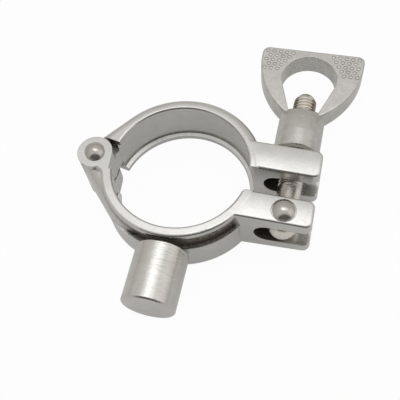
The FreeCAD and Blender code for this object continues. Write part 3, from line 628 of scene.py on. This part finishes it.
floor_bm = bmesh.new()
bmesh.ops.create_grid(floor_bm, x_segments=1, y_segments=1, size=FLOOR_HALF_M)
bmesh.ops.translate(floor_bm, verts=floor_bm.verts, vec=(0, 0, floor_level))
floor_mesh = bpy.data.meshes.new("floor")
floor_bm.to_mesh(floor_mesh)
floor_bm.free()
floor = bpy.data.objects.new("floor", floor_mesh)
bpy.context.scene.collection.objects.link(floor)
print("floor lies", round(floor_level / MM, 2), "mm from the middle plane")

# %% Paper of the floor
floor_paper, floor_tree = new_tree("pale_paper_floor")
paper = add_node(floor_tree, "ShaderNodeBsdfDiffuse", {"Color": linear("#DCDCDA")})
glow = add_node(floor_tree, "ShaderNodeEmission", {"Color": linear("#FFFFFF")})
blend = add_node(floor_tree, "ShaderNodeMixShader", {
    0: glow_share(floor_tree), 1: paper.outputs["BSDF"], 2: glow.outputs["Emission"]})
add_node(floor_tree, "ShaderNodeOutputMaterial", {"Surface": blend.outputs["Shader"]})
floor_mesh.materials.append(floor_paper)
print("floor is made of", floor_paper.name)

# %% [markdown]
# ## The room round the clip
# Steel shows what surrounds it, so the surroundings matter more than the lamps. Boxes
# and cards could stand round the clip, but the world alone gives the same reflections
# and costs nothing to render. Its parts were worked out from the photograph: where a
# face of known tilt looks bright, the part of the room that it mirrors is bright. There
# are four. The room grows brighter from the horizon to the ceiling. A dark side stands
# low beyond the rod's end, below the camera. A smaller, brighter patch stands beyond the
# lugs. A long key light hangs overhead, tilted towards the wing nut's side.

# %% World with an empty tree
world = bpy.data.worlds.new("studio")
bpy.context.scene.world = world
world.use_nodes = True
sky = world.node_tree
sky.nodes.clear()
direction = add_node(sky, "ShaderNodeTexCoord").outputs["Generated"]
print("world is", world.name)

# %% Room from horizon to ceiling, with its dark side and its bright side
ROOM_STOPS = ((0.0, "#CECAC5"), (0.3, "#DDDAD6"), (0.7, "#EEECEA"), (0.85, "#F8F8F8"))
SHADE_DIRECTION = Vector((0.24, -0.91, 0.34)).normalized()
SHADE_CORE_DEG, SHADE_EDGE_DEG, SHADE_DEPTH = 38.0, 58.0, 0.78
SIDE_DIRECTION = Vector((0.8, 0.15, 0.57)).normalized()
SIDE_CORE_DEG, SIDE_EDGE_DEG, SIDE_STRENGTH = 12.0, 32.0, 0.3


def patch(axis, core_deg, edge_deg, outside, inside):
    """A soft round patch of the room: one value inside the core, another past the edge."""
    cosine = add_node(sky, "ShaderNodeVectorMath", {0: direction, 1: axis},
                      operation="DOT_PRODUCT").outputs["Value"]
    return add_node(sky, "ShaderNodeMapRange", {
        "Value": cosine, "From Min": math.cos(math.radians(edge_deg)),
        "From Max": math.cos(math.radians(core_deg)), "To Min": outside, "To Max": inside,
    }, interpolation_type="SMOOTHSTEP").outputs["Result"]


upward = add_node(sky, "ShaderNodeSeparateXYZ", {"Vector": direction}).outputs["Z"]
room = add_node(sky, "ShaderNodeValToRGB", {"Fac": upward})
stops = room.color_ramp.elements
while len(stops) < len(ROOM_STOPS):
    stops.new(0.5)
for stop, (upward_share, tone) in zip(stops, ROOM_STOPS):
    stop.position, stop.color = upward_share, linear(tone)
room_light = add_node(sky, "ShaderNodeBackground", {
    "Color": room.outputs["Color"],
    "Strength": patch(SHADE_DIRECTION, SHADE_CORE_DEG, SHADE_EDGE_DEG,
                      outside=1.0, inside=1 - SHADE_DEPTH)})
side_light = add_node(sky, "ShaderNodeBackground", {
    "Color": linear("#FFFFFF"),
    "Strength": patch(SIDE_DIRECTION, SIDE_CORE_DEG, SIDE_EDGE_DEG,
                      outside=0.0, inside=SIDE_STRENGTH)})
print("the room has", len(stops), "tones, a dark side and a bright side")

# %% Key light: a long soft oval, measured in its own tilted plane
KEY_TILT = math.radians(-17.5)
KEY_LONG, KEY_SHORT = math.radians(36.0), math.radians(18.5)
KEY_HALF_WIDTHS = (math.sin(KEY_LONG), math.sin(KEY_SHORT), 1.0)
KEY_CORE_SHARE, KEY_STRENGTH = 0.3, 0.95
in_key = add_node(sky, "ShaderNodeMapping", {
    "Vector": direction, "Rotation": (KEY_TILT, 0, 0), "Scale": KEY_HALF_WIDTHS,
}, vector_type="TEXTURE").outputs["Vector"]
flat_key = add_node(sky, "ShaderNodeVectorMath", {0: in_key, 1: (1, 1, 0)},
                    operation="MULTIPLY").outputs["Vector"]
from_key = add_node(sky, "ShaderNodeVectorMath", {0: flat_key}, operation="LENGTH")
key = add_node(sky, "ShaderNodeMapRange", {
    "Value": from_key.outputs["Value"], "From Min": 1.0, "From Max": KEY_CORE_SHARE,
    "To Max": KEY_STRENGTH}, interpolation_type="SMOOTHSTEP")
key_light = add_node(sky, "ShaderNodeBackground", {
    "Color": linear("#FFFFFF"), "Strength": key.outputs["Result"]})
print("the key light leans", round(-math.degrees(KEY_TILT), 1), "degrees")

# %% Join the room's lights, and show plain white to the camera
room_and_side = add_node(sky, "ShaderNodeAddShader", {
    0: room_light.outputs["Background"], 1: side_light.outputs["Background"]})
lit = add_node(sky, "ShaderNodeAddShader", {
    0: room_and_side.outputs["Shader"], 1: key_light.outputs["Background"]})
white = add_node(sky, "ShaderNodeBackground", {"Color": linear("#FFFFFF")})
path = add_node(sky, "ShaderNodeLightPath")
surround = add_node(sky, "ShaderNodeMixShader", {
    0: path.outputs["Is Camera Ray"], 1: lit.outputs["Shader"],
    2: white.outputs["Background"]})
add_node(sky, "ShaderNodeOutputWorld", {"Surface": surround.outputs["Shader"]})
print("the world's tree has", len(sky.nodes), "nodes")

# %% [markdown]
# ## The lamp
# The world lights the clip from everywhere, so its shadow on the floor is very soft. One
# weak disk lamp overhead adds the faint firmer core that a real ceiling panel gives. A
# point lamp would draw a hard edge, so the disk is as wide as a small panel.

# %% Overhead lamp
LAMP_PLACE_MM, LAMP_AIM_MM = (-30, 120, 590), (5, 0, 0)
LAMP_SIZE_MM, LAMP_WATTS = 160, 0.05

lamp_data = bpy.data.lights.new("overhead_panel", "AREA")
lamp_data.shape = "DISK"
lamp_data.size = LAMP_SIZE_MM * MM
lamp_data.energy = LAMP_WATTS
lamp = bpy.data.objects.new("overhead_panel", lamp_data)
bpy.context.scene.collection.objects.link(lamp)
lamp.location = Vector(LAMP_PLACE_MM) * MM
gaze = Vector(LAMP_AIM_MM) * MM - lamp.location
lamp.rotation_mode = "QUATERNION"
lamp.rotation_quaternion = gaze.to_track_quat("-Z", "Y")
lamp.visible_camera = False
print(lamp.name, LAMP_WATTS, "W at", LAMP_PLACE_MM)
